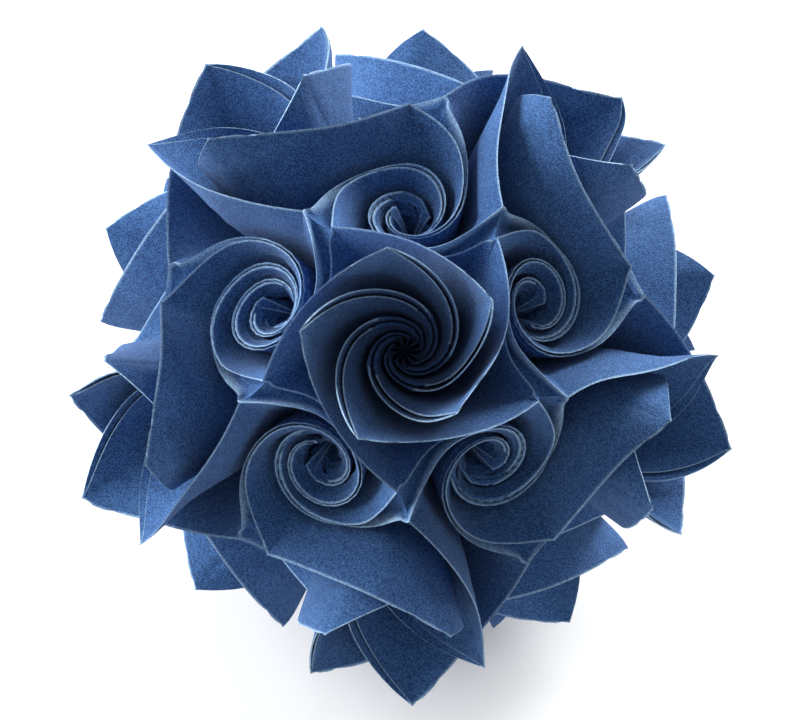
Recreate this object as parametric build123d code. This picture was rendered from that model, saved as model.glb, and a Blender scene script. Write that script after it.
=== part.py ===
"""Paper kusudama ball: thirty alike folded sheets, curled into twelve roses and twenty twirled hollows."""
from build123d import *
import math
import os
import numpy as np

# Sizes, in millimetres, all measured from the centre of the ball unless a line says otherwise
corner_radius = 50.0
peak_radius = 40.2
raw_edge_end_radius = 28.9
hollow_end_radius = 31.0
rose_floor_radius = 20.9
rose_eye_floor_radius = 26.5
shoulder_floor_radius = 21.1
hollow_floor_radius = 22.0
paper_thickness = 0.2
fold_bow = 2.8
valley_depth = 1.7
mitre_limit = 2.5
mitre_softness = 0.01

# Places on the ball, in degrees from the middle of a rose or of a hollow
corner_angle = 15.4
peak_angle = 28.4
rose_eye_angle = 7.0
hollow_eye_angle = 8.0
corner_turn = 95.0
peak_lead = 2.7
shoulder_angle = 18.9
shoulder_share = 0.47

# How far the flaps are curled, in degrees, how fast the curl tightens inwards and where it stops
rose_lean = 40.0
rose_curl = 174.1
rose_curl_power = 2.8
hollow_lean = 37.2
hollow_curl = 123.9
hollow_curl_power = 2.23
longest_curl_share = 1.15

# Spread of the two layers at their inner ends, in degrees on each side, and how late it sets in
raw_edge_spread = 12.9
strip_spread = 35.2
rose_skirt = -0.8
corner_skirt = 17.3
layer_parting = 0.67
hollow_skirt = 9.5
strip_gathering = 1.5
outer_wall_lag = 1.56
inner_wall_lag = 0.46

# Number of flat facets along the raw edge, the top fold and the hollow strip
raw_edge_facets = 5
fold_facets = 2
strip_facets = 5

swirl_steps = 24

# The fixed pattern of the ball: the petals of a rose and the direction of the first sheet from its rose,
# then the angles between the axes, from rose to rose, to the middle of a sheet and to a hollow
petals = 5
petal_turn = 360 / petals
sheet_azimuth = 54
rose_spacing = math.degrees(math.atan(2))
half_spacing = rose_spacing / 2
hollow_spacing = math.degrees(math.acos(math.sqrt((5 + 2 * math.sqrt(5)) / 15)))
hollow_reach = math.degrees(math.acos(math.sqrt(5) / 3)) / 2


def turn_about(axis, angle):
    """Rotation matrix, anticlockwise seen from outside, angle in degrees."""
    x, y, z = axis / np.linalg.norm(axis)
    cross = np.array([[0, -z, y], [z, 0, -x], [-y, x, 0]])
    a = math.radians(angle)
    return np.eye(3) + math.sin(a) * cross + (1 - math.cos(a)) * cross @ cross


def direction(angle, azimuth):
    """Unit direction at an angle from the first rose and at an azimuth around it."""
    a, b = math.radians(angle), math.radians(azimuth)
    return np.array([math.sin(a) * math.cos(b), math.sin(a) * math.sin(b), math.cos(a)])


def all_turns():
    """The sixty rotations that carry the ball onto itself."""
    next_rose = direction(rose_spacing, sheet_azimuth)
    steps = [turn_about(rose, petal_turn), turn_about(next_rose, petal_turn)]
    turns = [np.eye(3)]
    for turn in turns:
        for step in steps:
            new = step @ turn
            if not any(np.allclose(new, known, atol=1e-6) for known in turns):
                turns.append(new)
    return turns


def distinct(points):
    """The points of a list without repeats."""
    kept = []
    for point in points:
        if not any(np.allclose(point, other, atol=1e-6) for other in kept):
            kept.append(point)
    return kept


rose = np.array([0.0, 0.0, 1.0])
middle = direction(half_spacing, sheet_azimuth)
near_hollow = direction(hollow_spacing, sheet_azimuth - petal_turn / 2)
far_hollow = direction(hollow_spacing, sheet_azimuth + petal_turn / 2)
turns = all_turns()
roses = np.array(distinct([turn @ rose for turn in turns]))
hollows = np.array(distinct([turn @ near_hollow for turn in turns]))


def around(axis, angle, azimuth):
    """Directions at an angle from an axis, turned anticlockwise from the middle of the sheet."""
    a = np.radians(np.asarray(angle, float))[..., None]
    b = np.radians(np.asarray(azimuth, float))[..., None]
    ahead = middle - axis * (axis @ middle)
    ahead = ahead / np.linalg.norm(ahead)
    aside = np.cross(axis, ahead)
    return np.sin(a) * np.cos(b) * ahead + np.sin(a) * np.sin(b) * aside + np.cos(a) * axis


def place_around(axis, point):
    """Angle from an axis and azimuth around it, the reverse of around."""
    unit = point / np.linalg.norm(point)
    ahead = middle - axis * (axis @ middle)
    ahead = ahead / np.linalg.norm(ahead)
    aside = np.cross(axis, ahead)
    angle = math.degrees(math.acos(float(np.clip(unit @ axis, -1, 1))))
    return angle, math.degrees(math.atan2(float(unit @ aside), float(unit @ ahead)))


def rose_twist(angle):
    """How far a rose is curled at an angle from its axis, in radians."""
    share = np.clip((peak_angle - angle) / (peak_angle - rose_eye_angle), 0, longest_curl_share)
    return np.radians(rose_lean * share + rose_curl * share ** rose_curl_power)


def hollow_twist(angle):
    """How far a hollow is curled at an angle from its axis, in radians."""
    share = np.clip((hollow_reach - angle) / (hollow_reach - hollow_eye_angle), 0, longest_curl_share)
    return np.radians(hollow_lean * share + hollow_curl * share ** hollow_curl_power)


def swirl_speed(units):
    """Clockwise swirl about the nearest rose and the nearest hollow."""
    speed = np.zeros_like(units)
    for axes, twist in ((roses, rose_twist), (hollows, hollow_twist)):
        cosines = np.clip(units @ axes.T, -1, 1)
        nearest = np.argmax(cosines, axis=1)
        angle = np.degrees(np.arccos(cosines[np.arange(len(units)), nearest]))
        speed -= twist(angle)[:, None] * np.cross(axes[nearest], units)
    return speed


def swirl(points, sense=1):
    """Carry points round with the curl of the paper, or back again with a sense of -1."""
    points = np.asarray(points, float)
    flat = points.reshape(-1, 3)
    radii = np.linalg.norm(flat, axis=1, keepdims=True)
    units = flat / radii
    step = sense / swirl_steps
    for _ in range(swirl_steps):
        first = swirl_speed(units)
        second = swirl_speed(units + step / 2 * first)
        third = swirl_speed(units + step / 2 * second)
        fourth = swirl_speed(units + step * third)
        units = units + step / 6 * (first + 2 * second + 2 * third + fourth)
        units /= np.linalg.norm(units, axis=1, keepdims=True)
    return (units * radii).reshape(points.shape)


def fold_line(shares):
    """The top fold, from the corner at share 0 to the peak at share 1, bowed away from the rose."""
    corner = corner_radius * around(rose, corner_angle, -peak_lead - corner_turn)
    peak = peak_radius * around(rose, peak_angle, -peak_lead)
    outward = np.cross(peak - corner, rose)
    outward *= fold_bow / np.linalg.norm(outward)
    shares = np.asarray(shares)[:, None]
    return corner + (peak - corner) * shares + outward * 4 * shares * (1 - shares)


def panel(side):
    """One quarter of the curled sheet: the points along its top edge and along its floor edge.

    side is -1 for the layer towards the near hollow and 1 for the layer towards the far one.
    Both edges are laid out flat, raw edge, fold and strip in turn, and then carried by the curl.
    """
    hollow = near_hollow if side < 0 else far_hollow
    fold_top = swirl(fold_line(np.linspace(0, 1, fold_facets + 1)), -1)

    corner_place, corner_azimuth = place_around(rose, fold_top[0])
    shares = np.linspace(1, 0, raw_edge_facets, endpoint=False)
    angles = corner_place + (rose_eye_angle - corner_place) * shares
    edge_azimuth = corner_azimuth + side * raw_edge_spread * shares ** layer_parting
    edge_radius = corner_radius + (raw_edge_end_radius - corner_radius) * shares
    edge_top = around(rose, angles, edge_azimuth) * edge_radius[:, None]
    edge_skirt = corner_skirt + (rose_skirt - corner_skirt) * shares
    edge_floor = around(rose, angles, edge_azimuth + side * edge_skirt)
    edge_floor_radius = rose_floor_radius + (rose_eye_floor_radius - rose_floor_radius) * shares

    shares = np.linspace(0, 1, fold_facets + 1)
    shoulder_azimuth = side * petal_turn / 2 * shoulder_share
    fold_floor_angle = corner_place + (shoulder_angle - corner_place) * shares
    start = corner_azimuth + side * corner_skirt
    fold_floor = around(rose, fold_floor_angle, start + (shoulder_azimuth - start) * shares)
    fold_floor_radius = rose_floor_radius + (shoulder_floor_radius - rose_floor_radius) * shares

    shares = np.linspace(0, 1, strip_facets + 1)[1:]
    peak_place, peak_azimuth = place_around(hollow, fold_top[-1])
    angles = peak_place + (hollow_eye_angle - peak_place) * shares
    sign = 1 if peak_azimuth > 0 else -1
    azimuths = peak_azimuth + (sign * strip_spread - peak_azimuth) * shares ** strip_gathering
    ridge_radius = peak_radius + (hollow_end_radius - peak_radius) * shares
    ridge_top = around(hollow, angles, azimuths) * ridge_radius[:, None]
    shoulder_place, shoulder_turn = place_around(hollow, fold_floor[-1])
    floor_shares = shares ** (outer_wall_lag if side > 0 else inner_wall_lag)
    floor_angles = shoulder_place + (hollow_eye_angle - shoulder_place) * floor_shares
    floor_end = sign * (strip_spread + hollow_skirt)
    floor_azimuths = shoulder_turn + (floor_end - shoulder_turn) * floor_shares
    ridge_floor = around(hollow, floor_angles, floor_azimuths)
    ridge_floor_radius = shoulder_floor_radius + (hollow_floor_radius - shoulder_floor_radius) * shares

    top = np.concatenate([edge_top, fold_top, ridge_top])
    floor = np.concatenate([edge_floor, fold_floor, ridge_floor])
    floor_radius = np.concatenate([edge_floor_radius, fold_floor_radius, ridge_floor_radius])
    return swirl(top), swirl(floor * floor_radius[:, None])


def sheet_surface():
    """Corner points and facets of the whole curled sheet, without thickness."""
    flip = turn_about(middle, 180)
    points = []
    facets = []

    def add(rows):
        start = len(points)
        points.extend(rows)
        return list(range(start, start + len(rows)))

    peak = raw_edge_facets + fold_facets
    tops = {}
    for half, turn in (("front", np.eye(3)), ("back", flip)):
        for side in (-1, 1):
            top, floor = panel(side)
            top = top @ turn.T
            if side < 0:
                top_ids = add(top)
            else:
                fold_ids = tops[half, -1][raw_edge_facets:peak + 1]
                top_ids = add(top[:raw_edge_facets]) + fold_ids + add(top[peak + 1:])
            floor_ids = add(floor @ turn.T)
            tops[half, side] = top_ids
            for k in range(len(top_ids) - 1):
                facet = [top_ids[k], top_ids[k + 1], floor_ids[k + 1], floor_ids[k]]
                facets.append(facet if side < 0 else facet[::-1])

    front_ridge = tops["front", -1][:peak:-1] + tops["front", 1][peak:]
    back_ridge = tops["back", 1][:peak:-1] + tops["back", -1][peak:]
    centre_points = (points[tops["front", 1][peak]] + points[tops["back", 1][peak]]) / 2
    valley = add([centre_points - valley_depth * middle])[0]
    for k in range(len(front_ridge) - 1):
        facet = [front_ridge[k], front_ridge[k + 1], back_ridge[k + 1], back_ridge[k]]
        if k == strip_facets - 1:
            facet.insert(2, valley)
        if k == strip_facets:
            facet.append(valley)
        facets.append(facet)
    return np.array(points), facets


def triangles_of(facets):
    """Split every facet into triangles; a facet with the valley point fans out from it."""
    triangles = []
    for facet in facets:
        start = facet.index(max(facet)) if len(facet) == 5 else 0
        ring = facet[start:] + facet[:start]
        for k in range(1, len(ring) - 1):
            triangles.append([ring[0], ring[k], ring[k + 1]])
    return np.array(triangles)


def mitres(points, triangles):
    """Move of every point that shifts all the triangles around it outwards by one unit.

    The move is kept short at sharp folds, where a full mitre would shoot far out.
    """
    corners = points[triangles]
    flat = np.cross(corners[:, 1] - corners[:, 0], corners[:, 2] - corners[:, 0])
    flat /= np.linalg.norm(flat, axis=1, keepdims=True)
    pull = np.zeros_like(points)
    hold = np.zeros((len(points), 3, 3)) + np.eye(3) * mitre_softness
    for k in range(3):
        one = corners[:, (k + 1) % 3] - corners[:, k]
        two = corners[:, (k + 2) % 3] - corners[:, k]
        cosine = (one * two).sum(1) / np.linalg.norm(one, axis=1) / np.linalg.norm(two, axis=1)
        weight = np.arccos(cosine)[:, None]
        np.add.at(pull, triangles[:, k], flat * weight)
        np.add.at(hold, triangles[:, k], flat[:, :, None] * flat[:, None, :] * weight[:, None])
    moves = np.linalg.solve(hold, pull[:, :, None])[:, :, 0]
    lengths = np.linalg.norm(moves, axis=1, keepdims=True)
    return moves * np.minimum(1, mitre_limit / lengths)


def sheet_skin():
    """Points and triangles of the closed skin of one curled sheet of paper."""
    points, facets = sheet_surface()
    triangles = triangles_of(facets)
    offset = mitres(points, triangles) * paper_thickness / 2
    count = len(points)
    edges = {(a, b) for tri in triangles.tolist() for a, b in zip(tri, tri[1:] + tri[:1])}
    rim = [(a, b) for a, b in edges if (b, a) not in edges]
    sides = [[b, a, a + count] for a, b in rim] + [[b, a + count, b + count] for a, b in rim]
    skin = np.concatenate([triangles, triangles[:, ::-1] + count, np.array(sides)])
    return np.concatenate([points + offset, points - offset]), skin


def sheet_solid(points, skin):
    """One curled sheet as a solid."""
    faces = []
    for corners in points[skin]:
        faces.append(Face(Wire.make_polygon([tuple(corner) for corner in corners], close=True)))
    return Solid(Shell(faces))


def sheet_turns():
    """One rotation for each sheet of the ball."""
    kept = []
    for turn in turns:
        if not any(np.allclose(turn @ middle, other @ middle, atol=1e-6) for other in kept):
            kept.append(turn)
    return kept


def main():
    """Write the thirty sheets, with the middle of a hollow upwards and the ball resting on three corners."""
    upright = turn_about(np.array([1.0, 0.0, 0.0]), hollow_spacing)
    points, skin = sheet_skin()
    sheet = sheet_solid(points, skin)
    rotations = [upright @ turn for turn in sheet_turns()]
    everything = np.concatenate([points @ rotation.T for rotation in rotations])
    low, high = everything.min(axis=0), everything.max(axis=0)
    shift = -(low + high) / 2
    shift[2] = -low[2]
    os.makedirs("parts", exist_ok=True)
    for number, rotation in enumerate(rotations, 1):
        place = Plane(origin=tuple(shift), x_dir=tuple(rotation[:, 0]), z_dir=tuple(rotation[:, 2]))
        export_step(sheet.moved(place.location), f"parts/paper_unit_{number:02d}.step")


main()
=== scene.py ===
"""Looks of the paper kusudama ball: thirty curled sheets of fibrous blue paper on a pale floor."""
import bpy
import math
import numpy as np
from mathutils import Matrix, Vector


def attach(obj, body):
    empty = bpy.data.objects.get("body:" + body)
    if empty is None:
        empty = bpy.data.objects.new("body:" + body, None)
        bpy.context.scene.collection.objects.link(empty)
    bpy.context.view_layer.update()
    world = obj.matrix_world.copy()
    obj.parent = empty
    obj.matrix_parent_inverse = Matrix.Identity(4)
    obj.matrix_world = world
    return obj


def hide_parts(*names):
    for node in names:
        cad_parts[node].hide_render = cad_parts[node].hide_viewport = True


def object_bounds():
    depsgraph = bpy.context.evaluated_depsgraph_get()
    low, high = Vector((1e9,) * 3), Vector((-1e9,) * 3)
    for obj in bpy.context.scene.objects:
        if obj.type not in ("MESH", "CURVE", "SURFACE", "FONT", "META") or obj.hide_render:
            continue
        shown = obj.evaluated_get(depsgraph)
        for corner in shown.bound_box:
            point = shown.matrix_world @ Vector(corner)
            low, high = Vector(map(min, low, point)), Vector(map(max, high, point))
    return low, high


bl_info = {
    "name": "Paper Kusudama Ball",
    "version": (1, 0, 0),
    "blender": (4, 5, 0),
    "location": "3D View > Sidebar > Kusudama",
    "description": "Curled paper sheets of a kusudama ball, with their paper and a plain stage",
    "category": "Add Mesh",
}

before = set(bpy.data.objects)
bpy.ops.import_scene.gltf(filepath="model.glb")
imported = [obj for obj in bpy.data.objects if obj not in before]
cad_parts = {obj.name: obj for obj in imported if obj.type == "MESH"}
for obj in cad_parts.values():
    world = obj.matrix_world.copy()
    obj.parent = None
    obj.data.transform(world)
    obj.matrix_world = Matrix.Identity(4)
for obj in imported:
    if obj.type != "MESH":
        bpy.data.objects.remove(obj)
CAD_BOX = [list(corner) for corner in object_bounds()]

# Millimetres in a metre: the paper is worked out in millimetres from the middle of the ball
MM = 1000

# The fixed pattern of the ball: the petals of a rose and the direction of the first sheet from its rose,
# then the angles from rose to rose, to the middle of a sheet, to a hollow and from there to its border
PETALS = 5
PETAL_TURN = 360 / PETALS
SHEET_AZIMUTH = 54
ROSE_SPACING = math.degrees(math.atan(2))
HALF_SPACING = ROSE_SPACING / 2
HOLLOW_SPACING = math.degrees(math.acos(math.sqrt((5 + 2 * math.sqrt(5)) / 15)))
HOLLOW_REACH = math.degrees(math.acos(math.sqrt(5) / 3)) / 2

# Places of corners, peaks and shoulders, in degrees from the middle of a rose
CORNER_ANGLE = 15.4
CORNER_TURN = 95.0
PEAK_ANGLE = 28.4
PEAK_LEAD = 2.7
SHOULDER_ANGLE = 18.9
SHOULDER_SHARE = 0.47

# Where the raw edges end in a rose and, within a range, the strips in a hollow, in degrees from its middle,
# for the top edge and for the floor edge
ROSE_EYE = 6.2
ROSE_EYE_FLOOR = 0.1
HOLLOW_EYE = (4.8, 8.5)
HOLLOW_EYE_FLOOR = 0.3

# Radii of the floor edge of a layer, in millimetres
ROSE_FLOOR = 20.9
ROSE_EYE_DEPTH = 18.0
SHOULDER_FLOOR = 21.1
HOLLOW_FLOOR = 22.0

# The curl: its steady lean in degrees, the power with which it tightens inwards, the angle at which it is
# full, and the share of the way inwards at which it stops tightening
ROSE_LEAN = 40.0
ROSE_POWER = 2.8
ROSE_EYE_TWIST = 7.0
ROSE_LONGEST = 1.12
HOLLOW_LEAN = 37.2
HOLLOW_POWER = 2.23
HOLLOW_EYE_TWIST = 8.0
HOLLOW_LONGEST = 1.2
SWIRL_STEPS = 24

# Turns and directions that differ by less than this are the same
SAME = 1e-6

# Spread of the two layers at their inner ends, in degrees on each side, and how late it sets in
RAW_SPREAD = 12.9
PARTING = 0.67
ROSE_SKIRT = 20.0
CORNER_SKIRT = 17.3
STRIP_SPREAD = 15.0
STRIP_GATHERING = 1.5
HOLLOW_SKIRT = 40.0
OUTER_LAG = 1.56
INNER_LAG = 0.46

# Power with which a layer turns from its slant at the top edge into its drop
LAYER_SLANT = 1.6

# Stations along the top edge of a layer, and rows down its depth and across a strip, closer near an edge
RAW_STATIONS = 30
FOLD_STATIONS = 14
STRIP_STATIONS = 34
DEPTHS = np.array([0, 0.004, 0.009, 0.018, 0.05, 0.1, 0.2, 0.35, 0.55, 0.78, 1.0])
ACROSS = np.array([0, 0.04, 0.1, 0.22, 0.36, 0.5, 0.64, 0.78, 0.9, 0.96, 1.0])

# The groove runs out over the last twelfth of a strip; a higher power makes its bottom flatter
GROOVE_RUNOUT = 12
GROOVE_POWER = 5

# Width of the painted highlight along an edge and distance within which points are welded, in millimetres
EDGE_WIDTH = 0.09
WELD = 1e-4

# Mitres at the folds: the longest one for a shift of one unit, how softly they give way, and the smallest
# length that anything is divided by; folds steeper than the last angle are shaded sharp
MITRE_LIMIT = 2.5
MITRE_SOFTNESS = 0.01
SMALLEST = 1e-12
SHARP_FOLD = math.radians(35)

# Slow waves through the whole ball: how many, their lengths in millimetres and their starts in radians
WAVES = 10
WAVE_LENGTHS = (28, 60)
WAVE_STARTS = (0, 6.3)

# Corners bent by the folder's hand, as in the photo: how far a bend reaches, then the place and the push of
# each one, in millimetres from the middle of the ball
BEND_REACH = 6.5
HAND_BENDS = (
    ((10.1, -36.5, 33.2), (-3.0, 0.7, 0.5)),
    ((45.8, -13.6, 15.1), (-1.6, 1.6, 1.2)),
    ((-37.7, -32.9, 0.3), (1.6, -1.7, -1.3)),
    ((16.7, 7.5, 46.5), (2.3, 0.1, 0.1)),
    ((37.7, -24.2, 21.9), (-1.3, -2.4, -1.8)),
    ((5.8, -49.5, 2.3), (1.5, -0.5, -0.4)),
    ((-30.8, 24.7, 31.1), (1.1, 1.5, 1.1)),
    ((26.9, 26.4, 32.9), (3.8, -3.1, -2.4)),
    ((2.2, -45.4, -21.7), (0.4, -1.7, -1.3)),
    ((-45.9, -20.1, -2.8), (0.0, -3.6, -2.8)),
    ((-16.9, 25.7, 38.6), (4.2, 1.4, 1.0)),
    ((-47.8, -12.0, 10.6), (0.7, -3.5, -2.6)),
    ((-32.7, -7.1, 22.3), (-1.2, -1.8, -1.4)),
    ((2.4, 15.3, 37.6), (2.6, 0.4, 0.3)),
)

# Loose fibres: radius in millimetres, sway from upright, shortest share of their length, and the share of
# painted edge highlight they carry
FIBRE_RADIUS = 0.016
FIBRE_SWAY = 0.7
FIBRE_SHORTEST = 0.3
FIBRE_HIGHLIGHT = 0.6

# Starts of the chance numbers
CURL_SEED = 11
WAVE_SEED = 7
STRIP_SEED = 5
FIBRE_SEED = 3

# Patterns of the paper: waves in a metre, and how strongly each shows in the dye and in the painted edge
# highlight
NOISE_MIDDLE = 0.5
CLOUD_SCALE = 160.0
CLOUD_IN_DYE = 0.8
FIBRE_SCALE = 1500.0
FIBRE_IN_DYE = 3.0
GRAIN_SCALE = 5200.0
GRAIN_IN_DYE = 5.5
DYE_LEVEL = 0.45
# Level of the painted highlight along edges and folds, and how strongly grain and fibres break it into
# patches
HIGHLIGHT_LEVEL = 0.55
FLECKS_IN_HIGHLIGHT = 1.2

# The stage: half the floor's width, lamps as place from the ball in metres, width and share of the key
# light, and the camera as it stood for the photo, with its shift in pixels and its roll in degrees
WHITE = (1, 1, 1, 1)
FLOOR_REACH = 6.0
FLOOR_GLOW = 0.1
LAMPS = {
    "window": (Vector((0.55, 1.0, 0.55)) * 0.9, 0.7, 1.0),
    "side_window": (Vector((-1.0, 0.3, 0.3)) * 0.8, 0.8, 0.8),
}
IMAGE_WIDTH = 800
CAMERA_SHIFT = (-3, -11)
CAMERA_LENS = 100.3
CAMERA_DISTANCE = 0.3325
CAMERA_ROLL = 1.42


def turn_about(axis, angle):
    """Rotation matrix, anticlockwise seen from outside, angle in degrees."""
    x, y, z = np.asarray(axis) / np.linalg.norm(axis)
    cross = np.array([[0, -z, y], [z, 0, -x], [-y, x, 0]])
    a = math.radians(angle)
    return np.eye(3) + math.sin(a) * cross + (1 - math.cos(a)) * cross @ cross


def direction(angle, azimuth):
    """Unit direction at an angle from the first rose and at an azimuth around it."""
    a, b = math.radians(angle), math.radians(azimuth)
    return np.array([math.sin(a) * math.cos(b), math.sin(a) * math.sin(b), math.cos(a)])


ROSE = np.array([0.0, 0.0, 1.0])
MIDDLE = direction(HALF_SPACING, SHEET_AZIMUTH)
NEAR_HOLLOW = direction(HOLLOW_SPACING, SHEET_AZIMUTH - PETAL_TURN / 2)
FAR_HOLLOW = direction(HOLLOW_SPACING, SHEET_AZIMUTH + PETAL_TURN / 2)


def all_turns():
    """The sixty rotations that carry the ball onto itself."""
    next_rose = direction(ROSE_SPACING, SHEET_AZIMUTH)
    steps = [turn_about(ROSE, PETAL_TURN), turn_about(next_rose, PETAL_TURN)]
    turns = [np.eye(3)]
    for turn in turns:
        for step in steps:
            new = step @ turn
            if not any(np.allclose(new, known, atol=SAME) for known in turns):
                turns.append(new)
    return turns


def distinct_turns(turns, point):
    """The turns that carry a point to different places."""
    kept = []
    for turn in turns:
        if not any(np.allclose(turn @ point, other @ point, atol=SAME) for other in kept):
            kept.append(turn)
    return kept


TURNS = all_turns()
SHEET_TURNS = distinct_turns(TURNS, MIDDLE)
ROSES = np.array([turn @ ROSE for turn in distinct_turns(TURNS, ROSE)])
HOLLOWS = np.array([turn @ NEAR_HOLLOW for turn in distinct_turns(TURNS, NEAR_HOLLOW)])

# The ball stands with the middle of a hollow upwards
UPRIGHT = turn_about((1, 0, 0), HOLLOW_SPACING)


def ahead_and_aside(axis):
    """Directions square to an axis: towards the middle of the sheet, and anticlockwise from there."""
    ahead = MIDDLE - axis * (axis @ MIDDLE)
    ahead = ahead / np.linalg.norm(ahead)
    return ahead, np.cross(axis, ahead)


def around(axis, angle, azimuth):
    """Directions at an angle from an axis, turned anticlockwise from the middle of the sheet."""
    a = np.radians(np.asarray(angle, float))[..., None]
    b = np.radians(np.asarray(azimuth, float))[..., None]
    ahead, aside = ahead_and_aside(axis)
    return np.sin(a) * np.cos(b) * ahead + np.sin(a) * np.sin(b) * aside + np.cos(a) * axis


def place_around(axis, point):
    """Angle from an axis and azimuth around it, the reverse of around."""
    unit = point / np.linalg.norm(point)
    ahead, aside = ahead_and_aside(axis)
    angle = math.degrees(math.acos(float(np.clip(unit @ axis, -1, 1))))
    return angle, math.degrees(math.atan2(float(unit @ aside), float(unit @ ahead)))


def blend(start, end, share):
    """From start at share 0 in a straight line to end at share 1."""
    return start + (end - start) * share


class Curl:
    """The swirl that curls the folded layers clockwise into every rose and every hollow.

    Each rose and each hollow is curled a little more or less than its neighbours.
    """

    def __init__(self, rose_curl, hollow_curl, rose_uneven=0.0, hollow_uneven=0.0):
        rng = np.random.default_rng(CURL_SEED)
        self.rose_curl = rose_curl * (1 + rose_uneven * rng.uniform(-1, 1, len(ROSES)))
        self.hollow_curl = hollow_curl * (1 + hollow_uneven * rng.uniform(-1, 1, len(HOLLOWS)))

    def rose_twist(self, angle, nearest):
        """How far the nearest rose is curled at an angle from its middle, in radians.

        It is a lean that grows evenly inwards, plus a curl that grows with a power of the way inwards.
        """
        share = np.clip((PEAK_ANGLE - angle) / (PEAK_ANGLE - ROSE_EYE_TWIST), 0, ROSE_LONGEST)
        return np.radians(ROSE_LEAN * share + self.rose_curl[nearest] * share ** ROSE_POWER)

    def hollow_twist(self, angle, nearest):
        """How far the nearest hollow is curled at an angle from its middle, in radians, as for a rose."""
        share = np.clip((HOLLOW_REACH - angle) / (HOLLOW_REACH - HOLLOW_EYE_TWIST), 0, HOLLOW_LONGEST)
        return np.radians(HOLLOW_LEAN * share + self.hollow_curl[nearest] * share ** HOLLOW_POWER)

    def speed(self, units):
        """Speed of unit directions: clockwise about the nearest rose and the nearest hollow."""
        speed = np.zeros_like(units)
        for axes, twist in ((ROSES, self.rose_twist), (HOLLOWS, self.hollow_twist)):
            cosines = np.clip(units @ axes.T, -1, 1)
            nearest = np.argmax(cosines, axis=1)
            angle = np.degrees(np.arccos(cosines[np.arange(len(units)), nearest]))
            speed -= twist(angle, nearest)[:, None] * np.cross(axes[nearest], units)
        return speed

    def carry(self, points, sense=1):
        """Points carried round with the curl, or back again with a sense of -1; radii stay.

        The swirl's speed is followed in equal steps, each by the mean of four slopes.
        """
        points = np.asarray(points, float)
        flat = points.reshape(-1, 3)
        radii = np.linalg.norm(flat, axis=1, keepdims=True)
        units = flat / radii
        step = sense / SWIRL_STEPS
        for _ in range(SWIRL_STEPS):
            first = self.speed(units)
            second = self.speed(units + step / 2 * first)
            third = self.speed(units + step / 2 * second)
            fourth = self.speed(units + step * third)
            units = units + step / 6 * (first + 2 * second + 2 * third + fourth)
            units /= np.linalg.norm(units, axis=1, keepdims=True)
        return (units * radii).reshape(points.shape)


def curls(size):
    """The even curl that lays the sheets out flat, and the uneven one that carries them into place."""
    even = Curl(size.rose_curl, size.hollow_curl)
    return even, Curl(size.rose_curl, size.hollow_curl, size.rose_uneven, size.hollow_uneven)


def fold_line(size, shares):
    """The top fold: a straight line from the corner at share 0 to the peak at share 1, plus a parabola.

    The parabola bows it away from the rose.
    """
    corner = size.corner_radius * MM * around(ROSE, CORNER_ANGLE, -PEAK_LEAD - CORNER_TURN)
    peak = size.peak_radius * MM * around(ROSE, PEAK_ANGLE, -PEAK_LEAD)
    outward = np.cross(peak - corner, ROSE)
    outward *= size.fold_bow * MM / np.linalg.norm(outward)
    shares = np.asarray(shares)[:, None]
    return blend(corner, peak, shares) + outward * 4 * shares * (1 - shares)


def raw_edge(size, side, corner):
    """Top points, floor directions and floor radii from the eye of a rose to the corner of a layer.

    Angles, radii and the skirt between top and floor go evenly with the share of the way to the eye, and
    the azimuth spreads with a power of it.
    """
    shares = np.linspace(1, 0, RAW_STATIONS, endpoint=False)
    place, azimuth = place_around(ROSE, corner)
    azimuths = azimuth + side * RAW_SPREAD * shares ** PARTING
    radii = blend(size.corner_radius * MM, size.rose_end * MM, shares)
    top = around(ROSE, blend(place, ROSE_EYE, shares), azimuths) * radii[:, None]
    skirts = side * blend(CORNER_SKIRT, ROSE_SKIRT, shares)
    floor = around(ROSE, blend(place, ROSE_EYE_FLOOR, shares), azimuths + skirts)
    return top, floor, blend(ROSE_FLOOR, ROSE_EYE_DEPTH, shares)


def top_fold(side, fold_top):
    """Top points, floor directions and floor radii along the top fold of a layer.

    Under the fold the floor goes evenly from below the corner to the shoulder between two petals.
    """
    shares = np.linspace(0, 1, FOLD_STATIONS + 1)
    place, azimuth = place_around(ROSE, fold_top[0])
    start = azimuth + side * CORNER_SKIRT
    shoulder = side * PETAL_TURN / 2 * SHOULDER_SHARE
    floor = around(ROSE, blend(place, SHOULDER_ANGLE, shares), blend(start, shoulder, shares))
    return fold_top, floor, blend(ROSE_FLOOR, SHOULDER_FLOOR, shares)


def strip(size, side, eye, peak, shoulder):
    """Top points, floor directions and floor radii from the peak of a layer to its end in a hollow.

    Along the top, angle and radius go evenly with the share of the way and the azimuth with a power of
    it. Along the floor, angle and azimuth go with a power that lags behind in the outer wall and runs
    ahead in the inner one.
    """
    hollow = NEAR_HOLLOW if side < 0 else FAR_HOLLOW
    shares = np.linspace(0, 1, STRIP_STATIONS + 1)[1:]
    place, azimuth = place_around(hollow, peak)
    sign = 1 if azimuth > 0 else -1
    azimuths = blend(azimuth, sign * STRIP_SPREAD, shares ** STRIP_GATHERING)
    radii = blend(size.peak_radius * MM, size.hollow_end * MM, shares)
    top = around(hollow, blend(place, eye, shares), azimuths) * radii[:, None]
    floor_place, floor_azimuth = place_around(hollow, shoulder)
    floor_shares = shares ** (OUTER_LAG if side > 0 else INNER_LAG)
    floor_end = sign * (STRIP_SPREAD + HOLLOW_SKIRT)
    floor_azimuths = blend(floor_azimuth, floor_end, floor_shares)
    floor = around(hollow, blend(floor_place, HOLLOW_EYE_FLOOR, floor_shares), floor_azimuths)
    return top, floor, blend(SHOULDER_FLOOR, HOLLOW_FLOOR, shares)


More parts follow.
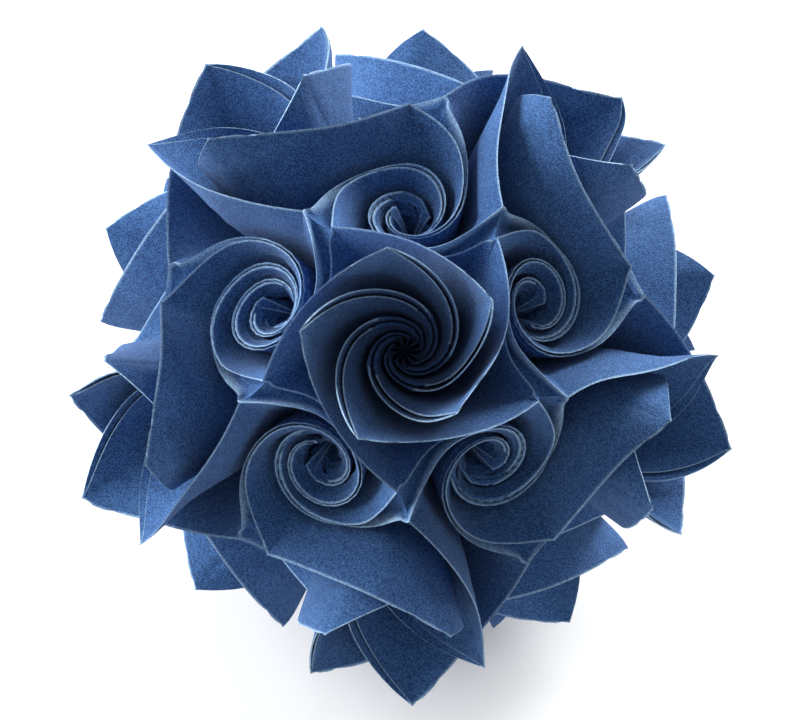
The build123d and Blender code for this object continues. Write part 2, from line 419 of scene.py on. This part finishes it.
def layer(size, even, side, eye):
    """One layer of the sheet before the curl: stations along its top edge by rows down its depth.

    side is -1 for the layer towards the near hollow and 1 for the layer towards the far one, and eye is
    the angle from the middle of the hollow at which its strip ends. From the top edge to the floor edge
    the radius goes evenly with the depth and the direction ahead of it, so that the layer leaves its top
    edge at a slant and then drops.
    """
    fold_top = even.carry(fold_line(size, np.linspace(0, 1, FOLD_STATIONS + 1)), -1)
    raw = raw_edge(size, side, fold_top[0])
    fold = top_fold(side, fold_top)
    ridge = strip(size, side, eye, fold_top[-1], fold[1][-1])
    top, floor, floor_radius = (np.concatenate(parts) for parts in zip(raw, fold, ridge))
    top_radius = np.linalg.norm(top, axis=1)
    top_unit = top / top_radius[:, None]
    sideways = (1 - (1 - DEPTHS) ** LAYER_SLANT)[None, :, None]
    units = top_unit[:, None] * (1 - sideways) + floor[:, None] * sideways
    units /= np.linalg.norm(units, axis=2, keepdims=True)
    radii = top_radius[:, None] * (1 - DEPTHS) + floor_radius[:, None] * DEPTHS
    return units * radii[:, :, None]


def placed_layers(size, even, turn, eyes):
    """The four layers of a sheet in its place, before the curl: half, side and grid of each.

    eyes are the angles at which the two strips of the sheet end.
    """
    for half, half_turn in (("front", np.eye(3)), ("back", turn_about(MIDDLE, 180))):
        for side in (-1, 1):
            eye = eyes[0] if (half == "front") == (side < 0) else eyes[1]
            yield half, side, layer(size, even, side, eye) @ (turn @ half_turn).T


def straight_across(one, two):
    """Grid of points on straight lines from each point of one line to the same point of another."""
    shares = ACROSS[None, :, None]
    return one[:, None] * (1 - shares) + two[:, None] * shares


def inset_across(one, two):
    """Distance of every point of such a grid from the nearer one of its two lines."""
    width = np.linalg.norm(two - one, axis=1)[:, None]
    return np.minimum(ACROSS, 1 - ACROSS)[None, :] * width


def distance_down(grid):
    """Distance of every point of a layer from its top edge, added up along its rows."""
    fall = np.linalg.norm(np.diff(grid, axis=1), axis=2)
    return np.concatenate([np.zeros((len(grid), 1)), np.cumsum(fall, axis=1)], axis=1)


def groove(front, back, centre_depth, end_depth):
    """The trough between the two ridges of a strip, on a grid of stations by rows across.

    It sinks towards the middle of the ball by a depth that grows with the sine of the way from the centre
    of the sheet to the end of a strip, and that runs out at the end; across, its bottom is nearly flat.
    """
    shares = np.abs(np.linspace(-1, 1, len(front)))
    depth = blend(centre_depth, end_depth, np.sin(shares * math.pi / 2))
    depth = depth * np.sqrt(np.clip((1 - shares) * GROOVE_RUNOUT, 0, 1))
    dip = 1 - np.abs(2 * ACROSS - 1) ** GROOVE_POWER
    lines = straight_across(front, back)
    down = lines / np.linalg.norm(lines, axis=2, keepdims=True)
    return lines - down * (depth[:, None] * dip[None, :])[:, :, None]


def blade_bottom(one, two):
    """Bottom of the pocket between the two layers of a blade, before the curl.

    Each row runs at an even radius along the great circle from one floor edge to the other.
    """
    radii = np.linalg.norm(one, axis=1)[:, None, None]
    rows = straight_across(one, two)
    rows = rows / np.linalg.norm(rows, axis=2, keepdims=True) * radii
    rows[:, 0] = one
    rows[:, -1] = two
    return rows


def grid_faces(rows, columns, start, flip):
    """Four-sided faces of a grid of points numbered row by row from start."""
    number = start + np.arange(rows * columns).reshape(rows, columns)
    faces = np.stack([number[:-1, :-1], number[1:, :-1], number[1:, 1:], number[:-1, 1:]], axis=-1)
    faces = faces.reshape(-1, 4)
    return faces[:, ::-1] if flip else faces


def closeness_to_edge(distance):
    """1 on an edge of the paper, fading out as a bell curve of the distance over the edge width."""
    return np.exp(-(distance / EDGE_WIDTH) ** 2)


def sheet_grid(size, even, curl, turn, eyes):
    """Welded points, faces and closeness to an edge of one sheet in its place, without thickness."""
    points, faces, closeness = [], [], []
    count = 0

    def add(grid, flip, near):
        nonlocal count
        rows, columns = grid.shape[:2]
        points.append(grid.reshape(-1, 3))
        closeness.append(near.reshape(-1))
        faces.append(grid_faces(rows, columns, count, flip))
        count += rows * columns

    grids, floors = {}, {}
    for half, side, flat in placed_layers(size, even, turn, eyes):
        grid = curl.carry(flat)
        grids[half, side] = grid
        floors[half, side] = flat[:RAW_STATIONS + 1, -1]
        add(grid, side > 0, closeness_to_edge(distance_down(grid)))
        if side > 0:
            bottom = curl.carry(blade_bottom(floors[half, -1], floors[half, 1]))
            add(bottom, False, np.zeros(bottom.shape[:2]))

    peak = RAW_STATIONS + FOLD_STATIONS
    tops = {key: grid[:, 0] for key, grid in grids.items()}
    front_ridge = np.concatenate([tops["front", -1][:peak:-1], tops["front", 1][peak:]])
    back_ridge = np.concatenate([tops["back", 1][:peak:-1], tops["back", -1][peak:]])
    trough = groove(front_ridge, back_ridge, size.valley_depth * MM, size.groove_depth * MM)
    add(trough, False, closeness_to_edge(inset_across(front_ridge, back_ridge)))

    for side, flip in ((-1, True), (1, False)):
        wall, other = grids["front", side][-1], grids["back", -side][-1]
        add(straight_across(wall, other), flip, closeness_to_edge(inset_across(wall, other)))

    points = np.concatenate(points)
    faces = np.concatenate(faces)
    closeness = np.concatenate(closeness)
    places = np.round(points / WELD).astype(np.int64)
    _, first, inverse = np.unique(places, axis=0, return_index=True, return_inverse=True)
    return points[first], inverse.reshape(-1)[faces], closeness[first]


def mitres(points, triangles):
    """Move of every point that shifts all the triangles around it outwards by one unit.

    It is the least-squares answer with the triangles weighted by their angles at the point, and is kept
    short at sharp folds, where a full mitre would shoot far out.
    """
    corners = points[triangles]
    flat = np.cross(corners[:, 1] - corners[:, 0], corners[:, 2] - corners[:, 0])
    flat /= np.maximum(np.linalg.norm(flat, axis=1, keepdims=True), SMALLEST)
    pull = np.zeros_like(points)
    hold = np.zeros((len(points), 3, 3)) + np.eye(3) * MITRE_SOFTNESS
    for k in range(3):
        one = corners[:, (k + 1) % 3] - corners[:, k]
        two = corners[:, (k + 2) % 3] - corners[:, k]
        lengths = np.maximum(np.linalg.norm(one, axis=1) * np.linalg.norm(two, axis=1), SMALLEST)
        weight = np.arccos(np.clip((one * two).sum(1) / lengths, -1, 1))[:, None]
        np.add.at(pull, triangles[:, k], flat * weight)
        np.add.at(hold, triangles[:, k], flat[:, :, None] * flat[:, None, :] * weight[:, None])
    moves = np.linalg.solve(hold, pull[:, :, None])[:, :, 0]
    lengths = np.maximum(np.linalg.norm(moves, axis=1, keepdims=True), SMALLEST)
    return moves * np.minimum(1, MITRE_LIMIT / lengths)


def sheet_skin(size, even, curl, turn, eyes):
    """Points, faces and closeness to an edge of the closed skin of one sheet of paper.

    The sheet is shifted by half its thickness to either side, and its open rim is closed by side faces.
    """
    points, quads, closeness = sheet_grid(size, even, curl, turn, eyes)
    triangles = np.concatenate([quads[:, [0, 1, 2]], quads[:, [0, 2, 3]]])
    one, two, three = triangles.T
    triangles = triangles[(one != two) & (two != three) & (one != three)]
    offset = mitres(points, triangles) * size.thickness * MM / 2
    count = len(points)
    edges = np.concatenate([quads[:, [k, (k + 1) % 4]] for k in range(4)])
    edges = edges[edges[:, 0] != edges[:, 1]]
    _, first, number = np.unique(np.sort(edges, axis=1), axis=0, return_index=True, return_counts=True)
    rim = edges[first[number == 1]]
    sides = np.stack([rim[:, 1], rim[:, 0], rim[:, 0] + count, rim[:, 1] + count], axis=1)
    faces = np.concatenate([quads, quads[:, ::-1] + count, sides])
    skin = np.concatenate([points + offset, points - offset])
    return skin, faces, np.concatenate([closeness, closeness])


def hand_made(points, amount):
    """Points moved by slow sine waves through the whole ball and by the corners bent by hand.

    amount is the height of a wave in millimetres. Each bend pushes the paper around its place, less and
    less as a bell curve of the distance.
    """
    rng = np.random.default_rng(WAVE_SEED)
    moved = points.copy()
    for _ in range(WAVES):
        wave = rng.normal(size=3)
        wave *= 2 * math.pi / (rng.uniform(*WAVE_LENGTHS) * np.linalg.norm(wave))
        push = rng.normal(size=3)
        push /= np.linalg.norm(push)
        moved += push * (amount * np.sin(points @ wave + rng.uniform(*WAVE_STARTS)))[:, None]
    for place, push in HAND_BENDS:
        distance = np.linalg.norm(points - np.array(place), axis=1)[:, None]
        moved += np.array(push) * np.exp(-(distance / BEND_REACH) ** 2 / 2)
    return moved


def strip_ends():
    """Angles from the middle of a hollow at which the two strips of every sheet end."""
    return np.random.default_rng(STRIP_SEED).uniform(*HOLLOW_EYE, (len(SHEET_TURNS), 2))


def edge_lines(size, even, curl, turn, eyes):
    """Points along the top edges of the four layers of a sheet in its place, layer by layer."""
    return np.array([curl.carry(flat[:, 0]) for _, _, flat in placed_layers(size, even, turn, eyes)])


def loose_fibres(lines, density, length, rng):
    """Fine fibres standing off the edges: each a thin three-sided spike from a point of an edge.

    The foot of a fibre lies at a chance share of a chance piece of edge, and the fibre leans
    from the outward direction by a chance amount. Most are short: their length goes with the
    square of a chance share.
    """
    starts = lines[:, :-1].reshape(-1, 3)
    ends = lines[:, 1:].reshape(-1, 3)
    pieces = np.linalg.norm(ends - starts, axis=1)
    count = int(pieces.sum() * density)
    chosen = rng.choice(len(pieces), count, p=pieces / pieces.sum())
    feet = starts[chosen] + (ends - starts)[chosen] * rng.random((count, 1))
    outward = feet / np.linalg.norm(feet, axis=1, keepdims=True)
    lean = outward + rng.normal(0, FIBRE_SWAY, (count, 3))
    lean /= np.linalg.norm(lean, axis=1, keepdims=True)
    aside = np.cross(lean, rng.normal(size=(count, 3)))
    aside /= np.linalg.norm(aside, axis=1, keepdims=True)
    third = np.cross(lean, aside)
    turns = np.radians([0, 120, 240])[None, :, None]
    ring = feet[:, None] + FIBRE_RADIUS * (aside[:, None] * np.cos(turns) + third[:, None] * np.sin(turns))
    tips = feet + lean * (length * rng.uniform(FIBRE_SHORTEST, 1, (count, 1)) ** 2)
    points = np.concatenate([ring, tips[:, None]], axis=1).reshape(-1, 3)
    spike = np.array([[0, 1, 3], [1, 2, 3], [2, 0, 3], [2, 1, 0]])
    faces = (spike[None] + 4 * np.arange(count)[:, None, None]).reshape(-1, 3)
    return points, faces


def on_the_floor(points):
    """Points around the middle of the ball in their place in the frame, in metres, none below the floor."""
    placed = points + (np.array(CAD_BOX[0]) + np.array(CAD_BOX[1])) / 2 * MM
    placed[:, 2] = np.maximum(placed[:, 2], 0)
    return placed / MM


def mesh_object(name, points, faces, attributes=None):
    """An object at the origin with its mesh in metres and one value a point for each attribute."""
    mesh = bpy.data.meshes.new(name)
    mesh.from_pydata(points.tolist(), [], faces.tolist())
    for key, values in (attributes or {}).items():
        attribute = mesh.attributes.new(key, "FLOAT", "POINT")
        attribute.data.foreach_set("value", np.asarray(values, np.float32))
    mesh.validate()
    mesh.update()
    obj = bpy.data.objects.new(name, mesh)
    bpy.context.scene.collection.objects.link(obj)
    return obj


class Socket:
    """A shader value that can be added, subtracted, multiplied and divided like a number."""

    def __init__(self, tree, socket):
        self.tree = tree
        self.socket = socket

    def feed(self, socket):
        """Link this value to the socket of another node."""
        self.tree.links.new(self.socket, socket)

    def math(self, operation, *inputs):
        """Result of a Math node on values and numbers."""
        node = self.tree.nodes.new("ShaderNodeMath")
        node.operation = operation
        fill_sockets(node, dict(enumerate(inputs)))
        return Socket(self.tree, node.outputs[0])

    def __add__(self, other):
        return self.math("ADD", self, other)

    def __radd__(self, other):
        return self.math("ADD", other, self)

    def __sub__(self, other):
        return self.math("SUBTRACT", self, other)

    def __rsub__(self, other):
        return self.math("SUBTRACT", other, self)

    def __mul__(self, other):
        return self.math("MULTIPLY", self, other)

    def __rmul__(self, other):
        return self.math("MULTIPLY", other, self)

    def __truediv__(self, other):
        return self.math("DIVIDE", self, other)

    def __rtruediv__(self, other):
        return self.math("DIVIDE", other, self)

    def clamped(self):
        """The value kept between 0 and 1."""
        return self.math("MINIMUM", self.math("MAXIMUM", self, 0.0), 1.0)


def fill_sockets(node, inputs):
    """Link or set the inputs of a node, each found by its name or number."""
    for key, value in inputs.items():
        if isinstance(value, Socket):
            value.feed(node.inputs[key])
        else:
            node.inputs[key].default_value = value


class Shader:
    """The node tree of a material or of the world, emptied but for its output."""

    def __init__(self, owner, output="ShaderNodeOutputMaterial"):
        owner.use_nodes = True
        self.tree = owner.node_tree
        self.tree.nodes.clear()
        self.output = self.tree.nodes.new(output)

    def node(self, kind, inputs=None, settings=None, output=0):
        """Any node: its settings are set first, then its inputs; returns the asked output."""
        node = self.tree.nodes.new(kind)
        for key, value in (settings or {}).items():
            setattr(node, key, value)
        fill_sockets(node, inputs or {})
        return Socket(self.tree, node.outputs[output])

    def noise(self, place, scale, detail, roughness, distortion=0.0):
        """Uneven pattern from 0 to 1 with its scale in waves a metre."""
        return self.node("ShaderNodeTexNoise", {"Vector": place, "Scale": scale, "Detail": detail,
                                                "Roughness": roughness, "Distortion": distortion})

    def mix(self, share, one, two):
        """Colour between two colours."""
        return self.node("ShaderNodeMix", {0: share, 6: one, 7: two}, {"data_type": "RGBA"}, output=2)

    def finish(self, surface):
        """Lead a surface to the output."""
        surface.feed(self.output.inputs[0])


def paper_material(look):
    """Soft felt-like paper: uneven dye, fine fibres, and a pale painted highlight along edges and folds,
    standing in for light caught by the fuzz.
    """
    material = bpy.data.materials.new("blue_paper")
    shader = Shader(material)
    place = shader.node("ShaderNodeTexCoord", output="Object")
    cloud = shader.noise(place, CLOUD_SCALE, detail=4.0, roughness=0.6)
    fibre = shader.noise(place, FIBRE_SCALE, detail=5.0, roughness=0.75, distortion=1.5)
    grain = shader.noise(place, GRAIN_SCALE, detail=2.0, roughness=0.6)
    edge = shader.node("ShaderNodeAttribute", settings={"attribute_name": "edge"}, output="Fac")
    fleck = ((fibre - NOISE_MIDDLE) * FIBRE_IN_DYE + (cloud - NOISE_MIDDLE) * CLOUD_IN_DYE
             + (grain - NOISE_MIDDLE) * GRAIN_IN_DYE + DYE_LEVEL).clamped()
    dye = shader.mix(fleck, (*look.shade_colour, 1), (*look.paper_colour, 1))
    # Painted highlight: a pale colour mixed in along edges and folds, broken into patches by grain and
    # fibres
    highlight_patches = HIGHLIGHT_LEVEL + (grain - NOISE_MIDDLE) * FLECKS_IN_HIGHLIGHT + (fibre - NOISE_MIDDLE) * FLECKS_IN_HIGHLIGHT
    edge_highlight = (edge * highlight_patches * look.edge_light).clamped()
    colour = shader.mix(edge_highlight, dye, (*look.edge_highlight_colour, 1))
    height = fibre * 0.5 + grain * 0.5
    bump = shader.node("ShaderNodeBump", {"Height": height, "Strength": 0.8, "Distance": 0.0004})
    shader.finish(shader.node("ShaderNodeBsdfPrincipled", {
        "Base Color": colour, "Roughness": 0.85, "Normal": bump, "Sheen Weight": 0.09,
        "Sheen Roughness": 0.6, "Specular IOR Level": 0.10}))
    return material


def floor_material(look):
    """Pale floor that keeps the shadow near the ball and turns white far out, for the camera alone."""
    material = bpy.data.materials.new("pale_floor")
    shader = Shader(material)
    near = shader.node("ShaderNodeBsdfPrincipled", {
        "Base Color": (*look.floor_colour, 1), "Roughness": 0.9, "Specular IOR Level": 0.1,
        "Emission Color": WHITE, "Emission Strength": FLOOR_GLOW})
    far = shader.node("ShaderNodeEmission", {"Color": WHITE, "Strength": 1.0})
    place = shader.node("ShaderNodeTexCoord", output="Object")
    distance = shader.node("ShaderNodeVectorMath", {0: place}, {"operation": "LENGTH"}, output="Value")
    seen = shader.node("ShaderNodeLightPath", output="Is Camera Ray")
    share = ((distance - look.floor_near) / look.floor_fade).clamped() * seen
    shader.finish(shader.node("ShaderNodeMixShader", {0: share, 1: near, 2: far}))
    return material


def studio_world(look):
    """Even fill light all around, seen by the camera as plain white."""
    world = bpy.data.worlds.new("studio")
    shader = Shader(world, "ShaderNodeOutputWorld")
    fill = shader.node("ShaderNodeBackground", {"Color": WHITE, "Strength": look.fill_light})
    white = shader.node("ShaderNodeBackground", {"Color": WHITE, "Strength": 1.0})
    seen = shader.node("ShaderNodeLightPath", output="Is Camera Ray")
    shader.finish(shader.node("ShaderNodeMixShader", {0: seen, 1: fill, 2: white}))
    return world


def add_lamp(scene, name, ball, offset, width, power):
    """A square white area lamp at an offset from the ball, turned to face it."""
    light = bpy.data.lights.new(name, "AREA")
    light.shape = "SQUARE"
    light.size = width
    light.energy = power
    obj = bpy.data.objects.new(name, light)
    obj.location = ball + offset
    obj.rotation_mode = "QUATERNION"
    obj.rotation_quaternion = (-offset).to_track_quat("-Z", "Y")
    scene.collection.objects.link(obj)


def add_camera(scene, ball):
    """The camera straight in front of a rose, as in the photo, rolled a little."""
    right, up, towards = (Vector(column) for column in UPRIGHT.T)
    roll = math.radians(CAMERA_ROLL)
    image_up = up * math.cos(roll) - right * math.sin(roll)
    image_right = image_up.cross(towards)
    turn = Matrix((image_right, image_up, towards)).transposed()
    camera = bpy.data.cameras.new("camera")
    camera.lens = CAMERA_LENS
    camera.shift_x, camera.shift_y = (shift / IMAGE_WIDTH for shift in CAMERA_SHIFT)
    obj = bpy.data.objects.new("camera", camera)
    obj.location = ball + towards * CAMERA_DISTANCE
    obj.rotation_mode = "QUATERNION"
    obj.rotation_quaternion = turn.to_quaternion()
    scene.collection.objects.link(obj)
    scene.camera = obj


class SheetSizes(bpy.types.PropertyGroup):
    """Sizes of the folded sheets and of their curl"""
    corner_radius: bpy.props.FloatProperty(
        name="Corner radius", description="From the ball's centre to the pointed corners",
        default=0.050, unit="LENGTH")
    peak_radius: bpy.props.FloatProperty(
        name="Peak radius", description="From the ball's centre to the peaks where folds meet",
        default=0.0402, unit="LENGTH")
    rose_end: bpy.props.FloatProperty(
        name="Rose end radius", description="Where the raw edges end, deep in a rose",
        default=0.0289, unit="LENGTH")
    hollow_end: bpy.props.FloatProperty(
        name="Hollow end radius", description="Where the strips end, deep in a hollow",
        default=0.031, unit="LENGTH")
    thickness: bpy.props.FloatProperty(
        name="Paper thickness", description="Thickness of one layer of paper",
        default=0.0002, unit="LENGTH")
    fold_bow: bpy.props.FloatProperty(
        name="Fold bow", description="How far the top folds bow outwards",
        default=0.0028, unit="LENGTH")
    valley_depth: bpy.props.FloatProperty(
        name="Valley depth", description="Dip between the two peaks of a sheet",
        default=0.0017, unit="LENGTH")
    groove_depth: bpy.props.FloatProperty(
        name="Groove depth", description="Depth of the groove along the strips",
        default=0.004, unit="LENGTH")
    rose_curl: bpy.props.FloatProperty(
        name="Rose curl", description="How far the roses are curled, in degrees",
        default=180.0)
    hollow_curl: bpy.props.FloatProperty(
        name="Hollow curl", description="How far the strips in the hollows are curled, in degrees",
        default=185.0)
    rose_uneven: bpy.props.FloatProperty(
        name="Uneven roses", description="Share by which the curl differs from rose to rose",
        default=0.04)
    hollow_uneven: bpy.props.FloatProperty(
        name="Uneven hollows", description="Share by which the curl differs from hollow to hollow",
        default=0.25)
    unevenness: bpy.props.FloatProperty(
        name="Unevenness", description="Height of the slow waves through the ball, in millimetres",
        default=0.25)


class PaperLook(bpy.types.PropertyGroup):
    """Colours of the paper and of its painted edge highlight"""
    paper_colour: bpy.props.FloatVectorProperty(
        name="Paper colour", description="Light fibres of the paper",
        default=(0.070, 0.188, 0.446), subtype="COLOR")
    shade_colour: bpy.props.FloatVectorProperty(
        name="Deep colour", description="Deep dye between the fibres",
        default=(0.020, 0.060, 0.174), subtype="COLOR")
    # Painted highlight along raw edges and folds: a pale colour standing in for light caught by the fuzz
    edge_highlight_colour: bpy.props.FloatVectorProperty(
        name="Edge colour", description="Pale fuzz along raw edges and folds",
        default=(0.48, 0.72, 0.95), subtype="COLOR")
    # Strength of the painted edge highlight
    edge_light: bpy.props.FloatProperty(
        name="Edge fuzz", description="How much the fuzz shows",
        default=1.2)
    fibre_density: bpy.props.FloatProperty(
        name="Fibre density", description="Loose fibres on each millimetre of edge",
        default=1.3)
    fibre_length: bpy.props.FloatProperty(
        name="Fibre length", description="Longest loose fibre",
        default=0.0007, unit="LENGTH")


class StageLook(bpy.types.PropertyGroup):
    """Floor and light of the stage"""
    floor_colour: bpy.props.FloatVectorProperty(
        name="Floor colour", description="Plain pale floor",
        default=(0.9, 0.9, 0.9), subtype="COLOR")
    floor_near: bpy.props.FloatProperty(
        name="Floor near", description="Floor around the ball that keeps its shading",
        default=0.1, unit="LENGTH")
    floor_fade: bpy.props.FloatProperty(
        name="Floor fade", description="Width over which the floor turns white",
        default=0.3, unit="LENGTH")
    fill_light: bpy.props.FloatProperty(
        name="Fill light", description="Even light from all around",
        default=0.39)
    key_light: bpy.props.FloatProperty(
        name="Key light", description="Soft window light from behind, in watts",
        default=27.0)


class KUSUDAMA_OT_sheets(bpy.types.Operator):
    """Curl the thirty paper sheets and give them their paper"""
    bl_idname = "kusudama.sheets"
    bl_label = "Paper sheets"

    def execute(self, context):
        size = context.scene.kusudama_sheet
        material = paper_material(context.scene.kusudama_paper)
        even, curl = curls(size)
        for number, (turn, eyes) in enumerate(zip(SHEET_TURNS, strip_ends()), 1):
            node = f"paper_unit_{number:02d}"
            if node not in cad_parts:
                raise RuntimeError(f"the frame has no node {node}")
            points, faces, closeness = sheet_skin(size, even, curl, turn, eyes)
            placed = on_the_floor(hand_made(points @ UPRIGHT.T, size.unevenness))
            sheet = mesh_object(f"sheet_{number:02d}", placed, faces, {"edge": closeness})
            sheet.data.shade_smooth()
            sheet.data.set_sharp_from_angle(angle=SHARP_FOLD)
            sheet.data.materials.append(material)
            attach(sheet, "root")
            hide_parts(node)
        return {"FINISHED"}


class KUSUDAMA_OT_fibres(bpy.types.Operator):
    """Loose paper fibres along the edges and folds of the sheets"""
    bl_idname = "kusudama.fibres"
    bl_label = "Loose fibres"

    def execute(self, context):
        size = context.scene.kusudama_sheet
        look = context.scene.kusudama_paper
        even, curl = curls(size)
        lines = [edge_lines(size, even, curl, turn, eyes) for turn, eyes in zip(SHEET_TURNS, strip_ends())]
        lines = np.concatenate(lines) @ UPRIGHT.T
        lines = hand_made(lines.reshape(-1, 3), size.unevenness).reshape(lines.shape)
        rng = np.random.default_rng(FIBRE_SEED)
        points, faces = loose_fibres(lines, look.fibre_density, look.fibre_length * MM, rng)
        # The loose fibres carry part of the painted edge highlight
        edge_highlight = np.full(len(points), FIBRE_HIGHLIGHT)
        fibres = mesh_object("edge_fibres", on_the_floor(points), faces, {"edge": edge_highlight})
        fibres.data.materials.append(bpy.data.materials.get("blue_paper") or paper_material(look))
        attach(fibres, "root")
        return {"FINISHED"}


class KUSUDAMA_OT_stage(bpy.types.Operator):
    """Pale floor, soft light and the camera"""
    bl_idname = "kusudama.stage"
    bl_label = "Stage"

    def execute(self, context):
        scene = context.scene
        look = scene.kusudama_stage
        ball = (Vector(CAD_BOX[0]) + Vector(CAD_BOX[1])) / 2
        corners = FLOOR_REACH * np.array([[-1, -1, 0], [1, -1, 0], [1, 1, 0], [-1, 1, 0]], float)
        floor = mesh_object("floor", corners, np.array([[0, 1, 2, 3]]))
        floor.data.materials.append(floor_material(look))
        scene.world = studio_world(look)
        for name, (offset, width, share) in LAMPS.items():
            add_lamp(scene, name, ball, offset, width, look.key_light * share)
        add_camera(scene, ball)
        scene.view_settings.view_transform = "Standard"
        return {"FINISHED"}


class KUSUDAMA_PT_panel(bpy.types.Panel):
    """Sizes, looks and steps of the kusudama ball"""
    bl_idname = "KUSUDAMA_PT_panel"
    bl_label = "Kusudama"
    bl_space_type = "VIEW_3D"
    bl_region_type = "UI"
    bl_category = "Kusudama"

    def draw(self, context):
        for group in ("kusudama_sheet", "kusudama_paper", "kusudama_stage"):
            box = self.layout.box()
            properties = getattr(context.scene, group)
            for key in properties.__annotations__:
                box.prop(properties, key)
        for step in ("kusudama.sheets", "kusudama.fibres", "kusudama.stage"):
            self.layout.operator(step)


CLASSES = (SheetSizes, PaperLook, StageLook, KUSUDAMA_OT_sheets, KUSUDAMA_OT_fibres, KUSUDAMA_OT_stage,
           KUSUDAMA_PT_panel)


def register():
    """Register the classes and give the scene their properties."""
    for cls in CLASSES:
        bpy.utils.register_class(cls)
    bpy.types.Scene.kusudama_sheet = bpy.props.PointerProperty(type=SheetSizes)
    bpy.types.Scene.kusudama_paper = bpy.props.PointerProperty(type=PaperLook)
    bpy.types.Scene.kusudama_stage = bpy.props.PointerProperty(type=StageLook)


def unregister():
    """Take the properties and the classes away again."""
    del bpy.types.Scene.kusudama_stage
    del bpy.types.Scene.kusudama_paper
    del bpy.types.Scene.kusudama_sheet
    for cls in reversed(CLASSES):
        bpy.utils.unregister_class(cls)


def main():
    """Make every piece and the stage."""
    register()
    bpy.ops.kusudama.sheets()
    bpy.ops.kusudama.fibres()
    bpy.ops.kusudama.stage()


if __name__ == "__main__":
    main()
